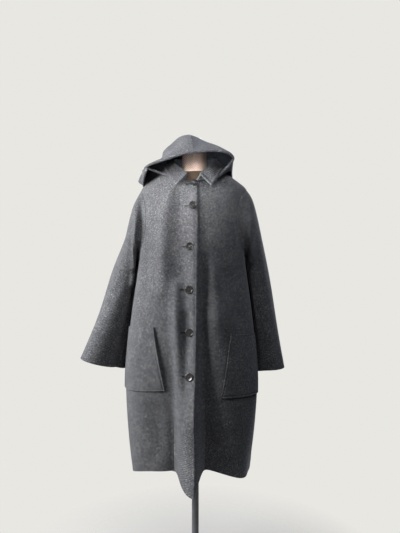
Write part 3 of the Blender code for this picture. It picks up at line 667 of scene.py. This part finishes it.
# Polished dark horn: almost black, with brown streaks about 11 mm long and 2.4 mm wide, and a clear
# bright highlight.
STREAK_LENGTH = 0.01111
STREAK_WIDTH = 0.002381
STREAK_SCALE = (1 / STREAK_LENGTH, 1 / STREAK_LENGTH, 1 / STREAK_WIDTH)
horn, tree, shader = start_material(
    "polished_dark_horn", {"Roughness": 0.22, "IOR": 1.54, "Coat Weight": 0.2})
place = add_node(tree, "ShaderNodeTexCoord", {}, {})
drawn = add_node(
    tree, "ShaderNodeMapping", {"Scale": STREAK_SCALE}, {"Vector": (place, "Object")})
streaks = add_node(tree, "ShaderNodeTexNoise", {"Scale": 1.0, "Detail": 3.0}, {"Vector": (drawn, "Vector")})
shade = add_node(
    tree, "ShaderNodeValToRGB", {"stops": [(0.35, "#0d0c0c"), (0.6, "#1c1917"), (0.75, "#3a302a")]},
    {"Fac": (streaks, "Fac")})
tree.links.new(shade.outputs["Color"], shader.inputs["Base Color"])

# The creased lap, which the buttons and buttonholes are laid on.
lap = BVHTree.FromPolygons(
    [v.co for v in front_right.data.vertices], [p.vertices[:] for p in front_right.data.polygons])


def button_place(number):
    """Seat, outward axis, radius and thickness of a button, sized as its solid and laid on the lap."""
    points = np.unique(points_of(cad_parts[f"button_{number}"]).round(6), axis=0)
    centre = points.mean(axis=0)
    axis = np.linalg.svd(points - centre)[2][2]
    axis = axis * -np.sign(axis[1])
    height = (points - centre) @ axis
    across = (points - centre) - height[:, None] * axis
    radius = np.linalg.norm(across, axis=1).max()
    seat = centre + axis * height.min()
    seat = Vector(seat + crease_moves(seat[None], AROUND_BODY, FRONT_CREASES)[0])
    axis = Vector(axis)
    level = Vector((0, 0, 1)).cross(axis).normalized()
    upright = axis.cross(level)
    turns = [math.radians(360 * step / RIM_SPOTS) for step in range(RIM_SPOTS)]
    reach = radius * SEAT_SHARE
    rim = [seat + (level * math.cos(turn) + upright * math.sin(turn)) * reach for turn in turns]
    touched = [lap.find_nearest(spot)[:2] for spot in rim]
    axis = (axis + sum((normal for _, normal in touched), Vector()) / RIM_SPOTS).normalized()
    rise = max((spot - seat).dot(axis) for spot, _ in touched)
    return seat + axis * rise, axis, radius, np.ptp(height)


def turned_button(radius, thickness):
    """A button of this size at the origin, with its face up."""
    bm = bmesh.new()
    rim = [bm.verts.new((out * radius, 0, up * thickness)) for out, up in BUTTON_PROFILE]
    line = [bm.edges.new(pair) for pair in zip(rim, rim[1:])]
    bmesh.ops.spin(
        bm, geom=rim + line, cent=(0, 0, 0), axis=(0, 0, 1), angle=2 * math.pi,
        steps=BUTTON_SEGMENTS, use_merge=True)
    bmesh.ops.remove_doubles(bm, verts=bm.verts[:], dist=MERGE)
    bmesh.ops.recalc_face_normals(bm, faces=bm.faces[:])
    return bm


def drill_holes(button, thickness, place):
    """Drills the four thread holes through a button."""
    drill = bmesh.new()
    for turn in range(4):
        out = Vector((HOLE_OFFSET * math.sqrt(2), 0, 0))
        spot = Matrix.Rotation(math.radians(45 + 90 * turn), 4, "Z") @ out
        bmesh.ops.create_cone(
            drill, cap_ends=True, segments=DRILL_SIDES, radius1=HOLE_RADIUS, radius2=HOLE_RADIUS,
            depth=DRILL_LENGTHS * thickness, matrix=Matrix.Translation(spot))
    bmesh.ops.transform(drill, matrix=place, verts=drill.verts[:])
    mesh = bpy.data.meshes.new("drill")
    drill.to_mesh(mesh)
    drill.free()
    cutter = bpy.data.objects.new("drill", mesh)
    bpy.context.scene.collection.objects.link(cutter)
    holes = button.modifiers.new("Holes", "BOOLEAN")
    holes.object = cutter
    graph = bpy.context.evaluated_depsgraph_get()
    drilled = bpy.data.meshes.new_from_object(button.evaluated_get(graph))
    button.modifiers.clear()
    button.data = drilled
    bpy.data.objects.remove(cutter)
    button.data.set_sharp_from_angle(angle=SHARP)


# Buttonholes and thread: where a hole starts and ends beside its button, and the length, width and height
# of each whip, of each strip of painted shadow in the cut, and of each crossed thread.
HOLE_REACH = (-0.030, 0.004)
WHIP_STEP = 0.0012
WHIP_OFFSET = 0.0016
WHIP_SLANT = 0.15
WHIP = (0.0036, 0.0012, 0.0009)
SLIT = (0.0060, 0.0016, 0.0010)
SLIT_STEP = 0.0030
SLIT_LIFT = 0.2
SHANK = (0.0095, 0.0013, 0.0013)
SHANK_HEIGHT = 0.66
whips = []
slit_shadows = []
shanks = []
for number in range(1, BUTTON_COUNT + 1):
    seat, axis, radius, thickness = button_place(number)
    place = Matrix.Translation(seat) @ axis.to_track_quat("Z", "Y").to_matrix().to_4x4()
    bm = turned_button(radius, thickness)
    bmesh.ops.transform(bm, matrix=place, verts=bm.verts[:])
    button = new_piece(bm, f"horn_button_{number}", horn)
    drill_holes(button, thickness, place)
    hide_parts(f"button_{number}")
    level = Vector((0, 0, 1)).cross(axis).normalized()
    upright = axis.cross(level)
    for turn in (1, -1):
        shanks.append((seat + axis * thickness * SHANK_HEIGHT, (level + upright * turn).normalized(), axis))
    for step in np.arange(HOLE_REACH[0], HOLE_REACH[1], WHIP_STEP):
        for rank in (1, -1):
            spot, normal, _, _ = lap.find_nearest(seat + level * step + upright * WHIP_OFFSET * rank)
            whips.append((spot, (upright + level * WHIP_SLANT * rank).normalized(), normal))
    # Strips of painted shadow along each buttonhole's cut, lifted a little off the lap.
    for step in np.arange(HOLE_REACH[0] + SLIT_STEP / 2, HOLE_REACH[1], SLIT_STEP):
        spot, normal, _, _ = lap.find_nearest(seat + level * step)
        slit_shadows.append((spot + normal * SLIT[2] * SLIT_LIFT, level, normal))
sew("button_threads", shanks, SHANK, thread)
sew("buttonhole_whipping", whips, WHIP, thread)

# Painted shadow inside a buttonhole: near-black strips along the cut, where the whipped sides shade it, with
# a little lint.
LINT = 0.001429
shadow_slit, tree, shader = start_material("buttonhole_shadow", {"Roughness": 1.0, "Specular IOR Level": 0.0})
place = add_node(tree, "ShaderNodeTexCoord", {}, {})
lint = add_node(tree, "ShaderNodeTexNoise", {"Scale": 1 / LINT}, {"Vector": (place, "Object")})
shade = add_node(
    tree, "ShaderNodeValToRGB", {"stops": [(0.4, "#08080a"), (0.7, "#17171a")]}, {"Fac": (lint, "Fac")})
tree.links.new(shade.outputs["Color"], shader.inputs["Base Color"])
sew("buttonhole_slit_shadows", slit_shadows, SLIT, shadow_slit)

# Floor: a plain pale disc of studio paper that the stand rests on.
# It thins out towards its rim, so that it runs into the backdrop and has no horizon.
FLOOR_RADIUS = 0.75
FLOOR_SEGMENTS = 96
FLOOR_SOLID = 0.30

# Pale studio paper: matt and even, with no highlight.
PAPER = "#b6b5b1"
paper, tree, shader = start_material("pale_floor_paper", {"Base Color": linear(PAPER), "Roughness": 0.9})
bm = bmesh.new()
bmesh.ops.create_circle(bm, cap_ends=True, segments=FLOOR_SEGMENTS, radius=FLOOR_RADIUS)
floor_mesh = bpy.data.meshes.new("floor")
bm.to_mesh(floor_mesh)
bm.free()
floor_mesh.materials.append(paper)
floor = bpy.data.objects.new("floor", floor_mesh)
bpy.context.scene.collection.objects.link(floor)
place = add_node(tree, "ShaderNodeTexCoord", {}, {})
reach = add_node(tree, "ShaderNodeVectorMath", {"operation": "LENGTH"}, {0: (place, "Object")})
thin = add_node(
    tree, "ShaderNodeMapRange",
    {"From Min": FLOOR_SOLID * FLOOR_RADIUS, "From Max": FLOOR_RADIUS, "To Min": 1.0, "To Max": 0.0},
    {"Value": (reach, "Value")})
tree.links.new(thin.outputs["Result"], shader.inputs["Alpha"])

# Studio light: a large soft window far to the left, a weak ceiling light, two small lamps that lift the
# neck and the inside of the hood, and two soft lights for the back. The pale room gives a weak bluish
# fill, shines in the buttons and enamel, and is a plain backdrop to the camera.
CHEST = Vector((0, -0.1, 1.15))
NECK = Vector((-0.03, -0.08, 1.36))
CAP = Vector((0.01, -0.05, 1.49))
LIGHTS = (
    # name, aim, degrees left of the camera, degrees above, distance, size, spread, watts, colour
    ("window", CHEST, 74, 16, 2.1, 1.2, 180, 102, "#f9faff"),
    ("ceiling_light", CHEST, -24, 57, 2.6, 1.6, 180, 35, "#eef1fa"),
    ("neck_lamp", NECK, 20, 3, 2.0, 0.26, 9, 0.27, "#f9faff"),
    ("hood_lamp", CAP, 2, -11, 2.0, 0.2, 7, 0.055, "#dce8fc"),
    ("back_window", CHEST, -150, 26, 2.8, 1.6, 180, 80, "#f4f6ff"),
    ("back_reflector", CHEST, 160, 10, 2.8, 1.6, 180, 18, "#fff6ec"),
)
BACKDROP = "#e8e7e2"
FILL = "#b4c2da"
FILL_STRENGTH = 0.04
MIRRORED = 0.7
for name, aim, aside, above, distance, size, spread, watts, colour in LIGHTS:
    light = bpy.data.lights.new(name, "AREA")
    light.size = size
    light.spread = math.radians(spread)
    light.energy = watts
    light.color = linear(colour)[:3]
    turn = math.radians(aside)
    rise = math.radians(above)
    towards = Vector((-math.sin(turn) * math.cos(rise), -math.cos(turn) * math.cos(rise), math.sin(rise)))
    lamp = bpy.data.objects.new(name, light)
    lamp.location = aim + towards * distance
    lamp.rotation_euler = (-towards).to_track_quat("-Z", "Y").to_euler()
    bpy.context.scene.collection.objects.link(lamp)
room = bpy.data.worlds.new("room")
room.use_nodes = True
bpy.context.scene.world = room
tree = room.node_tree
tree.nodes.clear()
rays = add_node(tree, "ShaderNodeLightPath", {}, {})
fill = add_node(tree, "ShaderNodeBackground", {"Color": linear(FILL), "Strength": FILL_STRENGTH}, {})
wall = add_node(tree, "ShaderNodeBackground", {"Color": linear(BACKDROP), "Strength": 1.0}, {})
pale = add_node(
    tree, "ShaderNodeMath", {"operation": "MULTIPLY_ADD", 1: MIRRORED},
    {0: (rays, "Is Glossy Ray"), 2: (rays, "Is Camera Ray")})
seen = add_node(
    tree, "ShaderNodeMixShader", {}, {0: (pale, 0), 1: (fill, "Background"), 2: (wall, "Background")})
add_node(tree, "ShaderNodeOutputWorld", {}, {"Surface": (seen, "Shader")})
bpy.context.scene.view_settings.view_transform = "Standard"

# Camera: level, straight in front of the coat at chest height, as in the photograph of 400 by 533 pixels.
# The lens is set by its focal length in pixels, with the picture's height filling the sensor's 36 mm.
CAMERA_PLACE = (0.0168, -1.8, 1.10)
IMAGE_HEIGHT = 533
FOCAL_PIXELS = 504
SENSOR = 36
camera_data = bpy.data.cameras.new("camera")
camera_data.sensor_width = SENSOR
camera_data.lens = SENSOR * FOCAL_PIXELS / IMAGE_HEIGHT
camera = bpy.data.objects.new("camera", camera_data)
camera.location = CAMERA_PLACE
camera.rotation_euler = (math.pi / 2, 0, 0)
bpy.context.scene.collection.objects.link(camera)
bpy.context.scene.camera = camera
